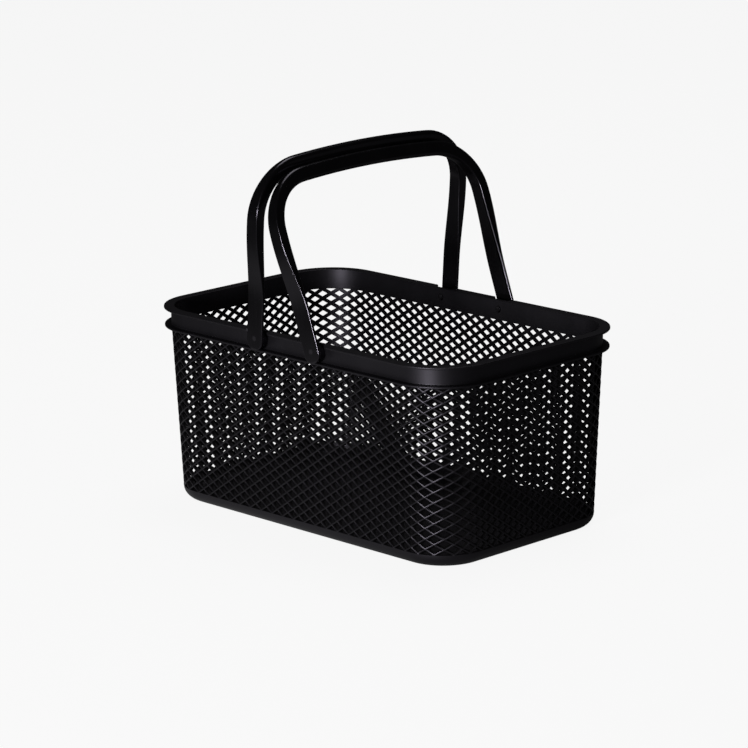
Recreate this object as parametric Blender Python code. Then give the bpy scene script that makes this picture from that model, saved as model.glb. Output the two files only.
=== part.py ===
# Organizer basket: a moulded tub with mesh walls and two swinging carry handles.
# Metres, +Z up. The tub stands on z = 0, centred on the Z axis, its long side along X.
# The tub is one moulding, held here as its rim band, its mesh walls and corners, and its base tray.

import math

import bmesh
import bpy
from mathutils import Matrix, Vector

# Tub, outside
RIM_LENGTH = 0.3
RIM_WIDTH = 0.1878
RIM_HEIGHT = 0.1411
RIM_CORNER_RADIUS = 0.04
LIP_REACH = 0.005
LIP_THICKNESS = 0.0016
FLANGE_REACH = 0.0046
FLANGE_THICKNESS = 0.0015
BAND_HEIGHT = 0.0146
WALL_THICKNESS = 0.0026
WALL_DRAFT = 0.0046
RIM_EDGE_ROUND = 0.0004

# Base
BASE_CORNER_RADIUS = 0.034
BASE_HEIGHT = 0.0096
BASE_ROUND = 0.009
FLOOR_THICKNESS = 0.0022
FLOOR_ROUND = 0.006

# Mesh walls: diamond gaps in columns and rows between two thin rails
LONG_WALL_COLUMNS = 6
SHORT_WALL_COLUMNS = 3
CORNER_COLUMNS = 1.5
MESH_ROWS = 5
RAIL_HEIGHT = 0.0014
RIB_WIDTH_OUTSIDE = 0.0042
RIB_WIDTH_INSIDE = 0.0054

# Hinges: each handle has a boss and a stub pin at both ends, sprung into the rim band
PIVOT_SPACING = 0.057
PIVOT_DROP = 0.0066
BOSS_RADIUS = 0.0055
PIN_RADIUS = 0.0021
PIN_HOLE_RADIUS = 0.0025
PIN_STAND_OUT = 0.0006
PIN_END_ROUND = 0.0005
NOTCH_CLEARANCE = 0.0015

# Handles: a strap that is wide and thin at the hinges, narrow and deep at the grip
GRIP_HEIGHT = 0.1289
SHOULDER_SPREAD = 0.0056
SHOULDER_RADIUS = 0.0408
CROWN_ANGLE = math.radians(4.5)
KNEE_START = 0.028
KNEE_LENGTH = 0.052
LEG_END_DROP = 0.0064
LEG_WIDTH = 0.015
SHOULDER_WIDTH = 0.0104
GRIP_WIDTH = 0.006
LEG_THICKNESS = 0.0022
SHOULDER_THICKNESS = 0.0074
GRIP_THICKNESS = 0.0108
LEG_EDGE_ROUND = 0.0006
GRIP_EDGE_ROUND = 0.0027
LEFT_HANDLE_LEAN = math.radians(4.2)

# Fits
TOUCH_GAP = 0.0003
LEG_CLEARANCE = 0.0006
CUT_OVERRUN = 0.002
MERGE_DISTANCE = 0.00001

# Facets
CORNER_FACETS = 8
ROUND_FACETS = 4
TURNED_FACETS = 20
EDGE_FACETS = 2
LEG_STATIONS = 8
SHOULDER_STATIONS = 7
CROWN_STATIONS = 3
END_STATIONS = 4

# Finishes: linear colour and roughness
TUB_FINISH = ((0.016, 0.015, 0.017), 0.42)
HANDLE_FINISH = ((0.016, 0.015, 0.017), 0.36)
SHARP_ANGLE = math.radians(35)

# Places that follow from the sizes above
BAND_HALF_LENGTH = RIM_LENGTH / 2 - LIP_REACH
BAND_HALF_WIDTH = RIM_WIDTH / 2 - LIP_REACH
BAND_CORNER_RADIUS = RIM_CORNER_RADIUS - LIP_REACH
BAND_BOTTOM = RIM_HEIGHT - BAND_HEIGHT
MESH_TOP = BAND_BOTTOM - TOUCH_GAP
MESH_BOTTOM = BASE_HEIGHT + TOUCH_GAP
PIVOT_HEIGHT = RIM_HEIGHT - PIVOT_DROP
LEG_INSIDE = RIM_WIDTH / 2 + LEG_CLEARANCE
LEG_OUTSIDE = LEG_INSIDE + LEG_THICKNESS


def plastic(name, finish):
    """A moulded plastic material of this colour and roughness."""
    colour, roughness = finish
    material = bpy.data.materials.new(name)
    material.use_nodes = True
    shader = material.node_tree.nodes["Principled BSDF"]
    shader.inputs["Base Color"].default_value = (*colour, 1)
    shader.inputs["Roughness"].default_value = roughness
    shader.inputs["Metallic"].default_value = 0
    return material


def as_object(name, bm):
    """Turn a closed bmesh into an object in the scene, its faces outwards."""
    bmesh.ops.recalc_face_normals(bm, faces=bm.faces[:])
    if bm.calc_volume(signed=True) < 0:
        bmesh.ops.reverse_faces(bm, faces=bm.faces[:])
    mesh = bpy.data.meshes.new(name)
    bm.to_mesh(mesh)
    bm.free()
    obj = bpy.data.objects.new(name, mesh)
    bpy.context.scene.collection.objects.link(obj)
    return obj


def finished(name, bm, finish):
    """Turn a bmesh into a smooth-shaded piece of the basket."""
    obj = as_object(name, bm)
    obj.data.shade_smooth()
    obj.data.set_sharp_from_angle(angle=SHARP_ANGLE)
    obj.data.materials.append(plastic(f"{name}_plastic", finish))
    return obj


def helper(name, bm):
    """Turn a bmesh into a tool that only Boolean modifiers use."""
    obj = as_object(name, bm)
    obj.hide_render = True
    obj.display_type = "WIRE"
    return obj


def add_boolean(obj, operation, tool):
    """Join a tool to an object, or cut it out."""
    modifier = obj.modifiers.new(f"{operation.title()} {tool.name}", "BOOLEAN")
    modifier.operation = operation
    modifier.solver = "EXACT"
    modifier.object = tool


def loft(bm, outlines, closed):
    """Extrude a loop of edges through the outlines, which have equal numbers of points.

    The last outline joins the first if closed, and otherwise both ends are capped.
    """
    verts = [bm.verts.new(point) for point in outlines[0]]
    first = [bm.edges.new(pair) for pair in zip(verts, verts[1:] + verts[:1])]
    last = first
    for outline in outlines[1:]:
        made = bmesh.ops.extrude_edge_only(bm, edges=last)["geom"]
        moved = {item for item in made if isinstance(item, bmesh.types.BMVert)}
        last = [item for item in made if isinstance(item, bmesh.types.BMEdge)]
        last = [edge for edge in last if moved.issuperset(edge.verts)]
        followers = []
        for vert, point in zip(verts, outline):
            links = [edge.other_vert(vert) for edge in vert.link_edges]
            follower = next(other for other in links if other in moved)
            follower.co = point
            followers.append(follower)
        verts = followers
    if closed:
        bmesh.ops.bridge_loops(bm, edges=first + last)
    else:
        bmesh.ops.contextual_create(bm, geom=first)
        bmesh.ops.contextual_create(bm, geom=last)


def arc(radius, start, end, steps):
    """Points of an arc about zero, both ends included."""
    angles = [start + (end - start) * step / steps for step in range(steps + 1)]
    return [(radius * math.cos(angle), radius * math.sin(angle)) for angle in angles]


def smooth_step(value, start, length):
    """Rise from 0 to 1 over the length after the start, level at both ends."""
    share = min(max((value - start) / length, 0), 1)
    return share * share * (3 - 2 * share)


def wall_section(height):
    """Half length, half width and corner radius of the walls' outer face at a height."""
    drop_share = min(max((BAND_BOTTOM - height) / BAND_BOTTOM, 0), 1)
    inset = WALL_DRAFT * drop_share
    radius = BAND_CORNER_RADIUS + (BASE_CORNER_RADIUS - BAND_CORNER_RADIUS) * drop_share
    return BAND_HALF_LENGTH - inset, BAND_HALF_WIDTH - inset, radius


def corner_side(quarter):
    """Which side along X and along Y the corner is on, counted anticlockwise from +X."""
    return (1 if quarter in (0, 3) else -1), (1 if quarter in (0, 1) else -1)


def wall_outline(height, outset):
    """Points round the tub at a height, the outset beyond the walls' outer face."""
    half_length, half_width, radius = wall_section(height)
    points = []
    for quarter in range(4):
        side_x, side_y = corner_side(quarter)
        centre = Vector((side_x * (half_length - radius), side_y * (half_width - radius), height))
        start = quarter * math.pi / 2
        for x, y in arc(radius + outset, start, start + math.pi / 2, CORNER_FACETS):
            points.append(centre + Vector((x, y, 0)))
    return points


def cylinder_across(bm, radius, centre, length):
    """Add a cylinder that runs along Y."""
    turn = Matrix.Rotation(math.pi / 2, 4, "X")
    bmesh.ops.create_cone(
        bm,
        cap_ends=True,
        segments=TURNED_FACETS,
        radius1=radius,
        radius2=radius,
        depth=length,
        matrix=Matrix.Translation(centre) @ turn,
    )


def hinge_places():
    """Where the four hinges are: the side along X and the side along Y."""
    return [(side_x, side_y) for side_x in (-1, 1) for side_y in (-1, 1)]


def lip_notches():
    """Cutter that opens the lip round each hinge boss, with rounded corners."""
    bm = bmesh.new()
    root = BOSS_RADIUS + NOTCH_CLEARANCE
    curve = [(root + LIP_REACH - x, y) for x, y in arc(LIP_REACH, 0, math.pi / 2, ROUND_FACETS)]
    for side_x, side_y in hinge_places():
        outline = curve + [(root + LIP_REACH, LIP_REACH + CUT_OVERRUN)]
        outline += [(-x, y) for x, y in reversed(outline)]
        outlines = []
        for height in (RIM_HEIGHT - LIP_THICKNESS - CUT_OVERRUN, RIM_HEIGHT + CUT_OVERRUN):
            points = []
            for x, y in outline:
                place_x = side_x * PIVOT_SPACING / 2 + x
                points.append((place_x, side_y * (BAND_HALF_WIDTH + y), height))
            outlines.append(points)
        loft(bm, outlines, closed=False)
    return helper("lip_notch_cutter", bm)


def pin_holes():
    """Cutter for the four pin holes through the rim band."""
    bm = bmesh.new()
    for side_x, side_y in hinge_places():
        middle = side_y * (BAND_HALF_WIDTH - WALL_THICKNESS / 2)
        centre = (side_x * PIVOT_SPACING / 2, middle, PIVOT_HEIGHT)
        cylinder_across(bm, PIN_HOLE_RADIUS, centre, WALL_THICKNESS + 2 * CUT_OVERRUN)
    return helper("pin_hole_cutter", bm)


def rim_band(finish):
    """The plain band round the mouth, with its top lip and its lower flange."""
    edge = RIM_EDGE_ROUND
    lip_bottom = RIM_HEIGHT - LIP_THICKNESS
    flange_top = BAND_BOTTOM + FLANGE_THICKNESS
    profile = [
        (-WALL_THICKNESS, RIM_HEIGHT - edge),
        (edge - WALL_THICKNESS, RIM_HEIGHT),
        (LIP_REACH - edge, RIM_HEIGHT),
        (LIP_REACH, RIM_HEIGHT - edge),
        (LIP_REACH, lip_bottom + edge),
        (LIP_REACH - edge, lip_bottom),
        (0, lip_bottom),
        (0, flange_top),
        (FLANGE_REACH - edge, flange_top),
        (FLANGE_REACH, flange_top - edge),
        (FLANGE_REACH, BAND_BOTTOM + edge),
        (FLANGE_REACH - edge, BAND_BOTTOM),
        (-WALL_THICKNESS, BAND_BOTTOM),
    ]
    outlines = []
    for outset, height in profile:
        points = wall_outline(BAND_BOTTOM, outset)
        outlines.append([(x, y, height) for x, y, _ in points])
    bm = bmesh.new()
    loft(bm, outlines, closed=True)
    obj = finished("rim_band", bm, finish)
    add_boolean(obj, "DIFFERENCE", lip_notches())
    add_boolean(obj, "DIFFERENCE", pin_holes())
    return obj


def base_tray(finish):
    """The floor and the plain rounded foot of the walls, open at the top."""
    outside = []
    for x, y in arc(BASE_ROUND, -math.pi / 2, 0, ROUND_FACETS + 1):
        outside.append((x - BASE_ROUND, y + BASE_ROUND))
    outside.append((0, BASE_HEIGHT))
    inside = [(-WALL_THICKNESS, BASE_HEIGHT)]
    for x, y in arc(FLOOR_ROUND, 0, -math.pi / 2, ROUND_FACETS):
        inside.append((x - FLOOR_ROUND - WALL_THICKNESS, y + FLOOR_ROUND + FLOOR_THICKNESS))
    outlines = [wall_outline(height, outset) for outset, height in outside + inside]
    bm = bmesh.new()
    loft(bm, outlines, closed=False)
    return finished("base_tray", bm, finish)


class Net:
    """A flat plate of diamond gaps, to be bent round the tub. x runs along it and z up it."""

    def __init__(self, length, columns, starts_on_gap):
        self.across = round(2 * columns)
        self.up = 2 * MESH_ROWS
        self.starts_on_gap = starts_on_gap
        self.half_column = length / self.across
        self.bottom = MESH_BOTTOM + RAIL_HEIGHT
        self.half_row = (MESH_TOP - RAIL_HEIGHT - self.bottom) / self.up
        self.outside_share = self.gap_share(RIB_WIDTH_OUTSIDE)
        self.inside_share = self.gap_share(RIB_WIDTH_INSIDE)
        self.bm = bmesh.new()
        self.widen_x = self.bm.verts.layers.float.new("widen_x")
        self.widen_z = self.bm.verts.layers.float.new("widen_z")

    def gap_share(self, rib_width):
        """How much of its cell a gap takes between ribs of this width."""
        diagonal = math.hypot(self.half_column, self.half_row)
        return 1 - rib_width / 2 * diagonal / (self.half_column * self.half_row)

    def place(self, column, row):
        """Where this half column and half row cross on the plate."""
        return column * self.half_column, self.bottom + row * self.half_row

    def vert(self, x, z, widen_x=0, widen_z=0):
        """A vertex, with how far its rib widens on the inside of the wall."""
        vert = self.bm.verts.new((x, 0, z))
        vert[self.widen_x] = widen_x
        vert[self.widen_z] = widen_z
        return vert

    def gap_corner(self, column, row, step_x, step_z):
        """The corner of a gap that lies in this direction from its middle."""
        share = self.outside_share
        x, z = self.place(column + share * step_x, row + share * step_z)
        widen = self.inside_share - share
        widen_x = widen * step_x * self.half_column
        widen_z = widen * step_z * self.half_row
        return self.vert(x, z, widen_x, widen_z)

    def add_ribs(self, column, row):
        """The stretches of rib round one gap, left out where they would pass the plate's edge."""
        for step_x in (-1, 1):
            for step_z in (-1, 1):
                if 0 <= column + step_x <= self.across and 0 <= row + step_z <= self.up:
                    self.bm.faces.new((
                        self.vert(*self.place(column + step_x, row)),
                        self.vert(*self.place(column, row + step_z)),
                        self.gap_corner(column, row, 0, step_z),
                        self.gap_corner(column, row, step_x, 0),
                    ))

    def add_rail(self, column, row, edge):
        """The thin rail along one end row beside one gap, out to the edge height."""
        middle, line = self.place(column, row)
        for step_x in (-1, 1):
            if 0 <= column + step_x <= self.across:
                crossing = self.place(column + step_x, row)[0]
                corner = self.gap_corner(column, row, step_x, 0)
                below_corner = self.vert(corner.co.x, edge)
                crossing_verts = self.vert(crossing, line), self.vert(crossing, edge)
                middle_verts = self.vert(middle, line), self.vert(middle, edge)
                self.bm.faces.new((crossing_verts[0], corner, below_corner, crossing_verts[1]))
                self.bm.faces.new((corner, middle_verts[0], middle_verts[1], below_corner))

    def build(self):
        """Make the plate, the wall's thickness deep along +Y."""
        for column in range(self.across + 1):
            for row in range(self.up + 1):
                if (column + row + self.starts_on_gap) % 2 == 1:
                    self.add_ribs(column, row)
                    if row == 0:
                        self.add_rail(column, row, MESH_BOTTOM)
                    if row == self.up:
                        self.add_rail(column, row, MESH_TOP)
        bmesh.ops.remove_doubles(self.bm, verts=self.bm.verts[:], dist=MERGE_DISTANCE)
        bmesh.ops.recalc_face_normals(self.bm, faces=self.bm.faces[:])
        moved = bmesh.ops.extrude_face_region(self.bm, geom=self.bm.faces[:])["geom"]
        for vert in (item for item in moved if isinstance(item, bmesh.types.BMVert)):
            vert.co.x += vert[self.widen_x]
            vert.co.z += vert[self.widen_z]
            vert.co.y = WALL_THICKNESS
        return self.bm

    def cut_ribs(self):
        """Cut the long edges in half, so that the plate can bend round a corner."""
        long_edges = []
        for edge in self.bm.edges:
            if abs(edge.verts[0].co.x - edge.verts[1].co.x) > self.half_column / 2:
                long_edges.append(edge)
        bmesh.ops.subdivide_edges(self.bm, edges=long_edges, cuts=1, use_grid_fill=True)


def mesh_wall(name, outward, columns, starts_on_gap, finish):
    """One straight mesh wall. Outward is the unit vector that the wall faces."""
    half_length, half_width, radius = wall_section((MESH_TOP + MESH_BOTTOM) / 2)
    length = 2 * ((half_length if outward.y else half_width) - radius)
    bm = Net(length, columns, starts_on_gap).build()
    along = Vector((-outward.y, outward.x, 0))
    for vert in bm.verts:
        half_length, half_width, radius = wall_section(vert.co.z)
        run = (half_length if outward.y else half_width) - radius - TOUCH_GAP / 2
        reach = (half_width if outward.y else half_length) - vert.co.y
        share = vert.co.x / length * 2 - 1
        vert.co = outward * reach + along * run * share + Vector((0, 0, vert.co.z))
    return finished(name, bm, finish)


def mesh_corner(name, quarter, starts_on_gap, finish):
    """One rounded mesh corner, a quarter turn that starts at this many quarter turns from +X."""
    length = wall_section((MESH_TOP + MESH_BOTTOM) / 2)[2] * math.pi / 2
    net = Net(length, CORNER_COLUMNS, starts_on_gap)
    bm = net.build()
    net.cut_ribs()
    side_x, side_y = corner_side(quarter)
    for vert in bm.verts:
        half_length, half_width, radius = wall_section(vert.co.z)
        margin = TOUCH_GAP / 2 / radius
        share = vert.co.x / length
        angle = quarter * math.pi / 2 + margin + (math.pi / 2 - 2 * margin) * share
        reach = radius - vert.co.y
        x = side_x * (half_length - radius) + reach * math.cos(angle)
        y = side_y * (half_width - radius) + reach * math.sin(angle)
        vert.co = (x, y, vert.co.z)
    return finished(name, bm, finish)


def strap_stations():
    """Places up one leg and along the crown to the middle.

    Each is the run along the strap from the pivot, the outer face's distance from the middle
    plane, its height over the pivot, and the angle of the outward direction above level.
    """
    shoulder_reach = LEG_OUTSIDE + SHOULDER_SPREAD
    crown_reach = shoulder_reach - SHOULDER_RADIUS * (1 - math.sin(CROWN_ANGLE))
    crown_rise = crown_reach * math.tan(CROWN_ANGLE) / 2
    centre_reach = shoulder_reach - SHOULDER_RADIUS
    centre_height = GRIP_HEIGHT - crown_rise - SHOULDER_RADIUS * math.cos(CROWN_ANGLE)
    places = []
    for step in range(1, END_STATIONS + 1):
        height = -LEG_END_DROP * math.cos(math.pi / 2 * step / (END_STATIONS + 1))
        places.append((LEG_OUTSIDE, height, 0))
    for step in range(LEG_STATIONS + 1):
        height = centre_height * step / LEG_STATIONS
        share = min(max((height - KNEE_START) / KNEE_LENGTH, 0), 1)
        slope = SHOULDER_SPREAD / KNEE_LENGTH * 6 * share * (1 - share)
        reach = LEG_OUTSIDE + SHOULDER_SPREAD * smooth_step(height, KNEE_START, KNEE_LENGTH)
        places.append((reach, height, -math.atan(slope)))
    for step in range(1, SHOULDER_STATIONS + 1):
        angle = (math.pi / 2 - CROWN_ANGLE) * step / SHOULDER_STATIONS
        reach = centre_reach + SHOULDER_RADIUS * math.cos(angle)
        places.append((reach, centre_height + SHOULDER_RADIUS * math.sin(angle), angle))
    for step in range(1, CROWN_STATIONS + 1):
        share = 1 - step / CROWN_STATIONS
        height = GRIP_HEIGHT - crown_rise * share * share
        slope = math.tan(CROWN_ANGLE) * share
        places.append((crown_reach * share, height, math.pi / 2 - math.atan(slope)))
    stations = []
    run = -LEG_END_DROP
    before = (LEG_OUTSIDE, run)
    for reach, height, angle in places:
        run += math.hypot(reach - before[0], height - before[1])
        stations.append((run, reach, height, angle))
        before = (reach, height)
    return stations


def strap_size(run):
    """Width, thickness and edge rounding of the strap at this run from the pivot."""
    up_leg = smooth_step(run, KNEE_START, KNEE_LENGTH)
    round_shoulder = smooth_step(run, KNEE_START + KNEE_LENGTH, SHOULDER_RADIUS * math.pi / 2)
    width = LEG_WIDTH + (SHOULDER_WIDTH - LEG_WIDTH) * up_leg
    width += (GRIP_WIDTH - SHOULDER_WIDTH) * round_shoulder
    if run < 0:
        width *= math.sqrt(1 - (run / LEG_END_DROP) ** 2)
    thickness = LEG_THICKNESS + (SHOULDER_THICKNESS - LEG_THICKNESS) * up_leg
    thickness += (GRIP_THICKNESS - SHOULDER_THICKNESS) * round_shoulder
    edge = LEG_EDGE_ROUND + (GRIP_EDGE_ROUND - LEG_EDGE_ROUND) * round_shoulder
    return width, thickness, edge


def strap_section(station, side):
    """Points round the strap at a station, on the leg at +Y or -Y."""
    run, reach, height, angle = station
    width, thickness, edge = strap_size(run)
    points = []
    for quarter in range(4):
        side_x, side_depth = corner_side(quarter)
        start = quarter * math.pi / 2
        for x, depth in arc(edge, start, start + math.pi / 2, EDGE_FACETS):
            x += side_x * (width / 2 - edge)
            depth += thickness / 2 + side_depth * (thickness / 2 - edge)
            y = side * (reach - depth * math.cos(angle))
            points.append((x, y, height - depth * math.sin(angle)))
    return points


def hinge_pin(name, side):
    """Boss and stub pin of one leg, turned about the pivot axis from the leg inwards."""
    band_outside = BAND_HALF_WIDTH + TOUCH_GAP
    pin_end = BAND_HALF_WIDTH - WALL_THICKNESS - PIN_STAND_OUT
    profile = [
        (BOSS_RADIUS, (LEG_INSIDE + LEG_OUTSIDE) / 2),
        (BOSS_RADIUS, band_outside),
        (PIN_RADIUS, band_outside),
        (PIN_RADIUS, pin_end + PIN_END_ROUND),
        (PIN_RADIUS - PIN_END_ROUND, pin_end),
    ]
    outlines = []
    for radius, reach in profile:
        circle = arc(radius, 0, 2 * math.pi, TURNED_FACETS)[:-1]
        outlines.append([(x, side * reach, z) for x, z in circle])
    bm = bmesh.new()
    loft(bm, outlines, closed=False)
    return helper(name, bm)


def handle(name, side_x, lean, finish):
    """One carry handle, made upright and turned about its own pivot axis."""
    half = strap_stations()
    sections = [strap_section(station, 1) for station in half]
    sections += [strap_section(station, -1) for station in reversed(half[:-1])]
    bm = bmesh.new()
    loft(bm, sections, closed=False)
    obj = finished(name, bm, finish)
    obj.location = (side_x * PIVOT_SPACING / 2, 0, PIVOT_HEIGHT)
    obj.rotation_euler = (0, lean, 0)
    for side_y, side_name in ((-1, "front"), (1, "back")):
        pin = hinge_pin(f"{name}_{side_name}_pin", side_y)
        pin.parent = obj
        add_boolean(obj, "UNION", pin)
    return obj


def resting_lean():
    """Lean of the right handle, whose grip rests against the left one's."""
    half = GRIP_WIDTH / 2
    edge = GRIP_EDGE_ROUND
    level = PIVOT_SPACING * math.cos(LEFT_HANDLE_LEAN) - half - edge - TOUCH_GAP
    corner = math.hypot(half - edge, GRIP_HEIGHT - edge)
    turn = math.atan2(half - edge, GRIP_HEIGHT - edge)
    return math.asin(level / corner) - turn - LEFT_HANDLE_LEAN


def clear_scene():
    """Remove everything the scene starts with."""
    for obj in list(bpy.data.objects):
        bpy.data.objects.remove(obj)


def build():
    """Make the basket at rest, its handles leaning together."""
    clear_scene()
    rim_band(TUB_FINISH)
    base_tray(TUB_FINISH)
    walls = (
        ("right_mesh_wall", (1, 0, 0), SHORT_WALL_COLUMNS, 1),
        ("back_mesh_wall", (0, 1, 0), LONG_WALL_COLUMNS, 0),
        ("left_mesh_wall", (-1, 0, 0), SHORT_WALL_COLUMNS, 1),
        ("front_mesh_wall", (0, -1, 0), LONG_WALL_COLUMNS, 0),
    )
    for name, outward, columns, starts_on_gap in walls:
        mesh_wall(name, Vector(outward), columns, starts_on_gap, TUB_FINISH)
    corners = ("back_right", "back_left", "front_left", "front_right")
    for quarter, place in enumerate(corners):
        mesh_corner(f"{place}_mesh_corner", quarter, (quarter + 1) % 2, TUB_FINISH)
    handle("left_handle", -1, LEFT_HANDLE_LEAN, HANDLE_FINISH)
    handle("right_handle", 1, -resting_lean(), HANDLE_FINISH)


build()
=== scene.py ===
"""Organizer basket: a black moulded tub with diamond mesh walls and two swinging carry handles."""

import logging
import math
from collections.abc import Iterable, Sequence
from dataclasses import dataclass
from enum import Enum

import bmesh
import bpy
from bmesh.types import BMEdge, BMesh, BMFace, BMVert
from bpy.types import ID, Material, Node, NodeSocket, Object, World
from mathutils import Matrix, Vector

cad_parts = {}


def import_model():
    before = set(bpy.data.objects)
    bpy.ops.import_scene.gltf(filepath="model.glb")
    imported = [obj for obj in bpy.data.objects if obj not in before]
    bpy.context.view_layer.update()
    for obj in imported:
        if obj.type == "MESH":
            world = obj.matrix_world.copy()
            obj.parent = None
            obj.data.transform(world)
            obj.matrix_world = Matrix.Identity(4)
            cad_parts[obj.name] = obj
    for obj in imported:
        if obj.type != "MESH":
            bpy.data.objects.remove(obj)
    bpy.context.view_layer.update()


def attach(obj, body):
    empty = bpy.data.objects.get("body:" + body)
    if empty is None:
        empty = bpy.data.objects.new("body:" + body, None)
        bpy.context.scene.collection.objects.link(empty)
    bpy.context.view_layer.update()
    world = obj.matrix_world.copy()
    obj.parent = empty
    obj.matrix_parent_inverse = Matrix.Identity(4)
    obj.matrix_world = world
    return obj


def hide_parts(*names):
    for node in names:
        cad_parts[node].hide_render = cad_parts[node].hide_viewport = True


LOG = logging.getLogger("organizer_basket")

IMAGE_PIXELS = 748
SENSOR_WIDTH_MM = 36.0
CLIP_START, CLIP_END = 0.05, 100.0
WELD = 0.00001
QUARTER = math.pi / 2
SIDES = (-1, 1)
WHITE = (1, 1, 1, 1)
DEPTH_LAYER = "depth"

Colour = tuple[float, float, float]
Point = tuple[float, float, float]
Span = tuple[float, float]
Station = tuple[float, float, float, float]
Inputs = dict[str | int, object]


class Leg(Enum):
    """The two legs of a handle, by the wall that they hang outside."""

    FRONT = -1
    BACK = 1


class HandleSide(Enum):
    """The two handles, by the side of their hinges along X."""

    LEFT = -1
    RIGHT = 1


class WallFace(Enum):
    """The four mesh walls, by quarter turns of their outward direction from +X."""

    RIGHT = 0
    BACK = 1
    LEFT = 2
    FRONT = 3

    @property
    def is_long(self) -> bool:
        """Whether the wall runs along X."""
        return self in (WallFace.BACK, WallFace.FRONT)


def unit(value: float) -> float:
    """Keep a number between 0 and 1."""
    return min(max(value, 0.0), 1.0)


def smooth_step(value: float, start: float, length: float) -> float:
    """A share that rises smoothly from 0 at the start to 1 a length further on."""
    share = unit((value - start) / length)
    return share * share * (3 - 2 * share)


def only(kind: type, items: Iterable[object]) -> list:
    """The items of one kind, out of the mixed geometry that an operator gives."""
    return [item for item in items if isinstance(item, kind)]


def in_scene(name: str, data: ID) -> Object:
    """Put a mesh, lamp or camera into the scene.

    Args:
        name: The object's name.
        data: What it shows.

    Returns:
        The new object, at the origin.
    """
    obj = bpy.data.objects.new(name, data)
    bpy.context.scene.collection.objects.link(obj)
    return obj


def direction(azimuth: float, elevation: float) -> Vector:
    """The unit vector at angles in radians from the front towards the right, and above level."""
    level = math.cos(elevation)
    return Vector((math.sin(azimuth) * level, -math.cos(azimuth) * level, math.sin(elevation)))


class Value:
    """One output of a shader node, on which Python's operators add Math nodes."""

    def __init__(self, graph: "Graph", socket: NodeSocket) -> None:
        """Wrap an output socket of a graph."""
        self.graph = graph
        self.socket = socket

    def _math(self, operation: str, *operands: "Value | float", clamp: bool = False) -> "Value":
        """Add one Math node on operands in order, and give its result."""
        settings = {"operation": operation, "use_clamp": clamp}
        return self.graph.value("ShaderNodeMath", settings, dict(enumerate(operands)))

    def __add__(self, other: "Value | float") -> "Value":
        """This value plus another."""
        return self._math("ADD", self, other)

    def __sub__(self, other: "Value | float") -> "Value":
        """This value minus another."""
        return self._math("SUBTRACT", self, other)

    def __rsub__(self, other: float) -> "Value":
        """A number minus this value."""
        return self._math("SUBTRACT", other, self)

    def __mul__(self, other: "Value | float") -> "Value":
        """This value times another."""
        return self._math("MULTIPLY", self, other)

    def larger(self, other: "Value | float") -> "Value":
        """The larger of this value and another."""
        return self._math("MAXIMUM", self, other)

    def clamped(self) -> "Value":
        """This value kept between 0 and 1."""
        return self._math("ADD", self, 0.0, clamp=True)

    def rise(self, start: float, end: float) -> "Value":
        """A smooth step, 0 where this value is at the start and 1 where it is at the end."""
        inputs = {"Value": self, "From Min": start, "From Max": end}
        return self.graph.value("ShaderNodeMapRange", {"interpolation_type": "SMOOTHSTEP"}, inputs)


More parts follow.
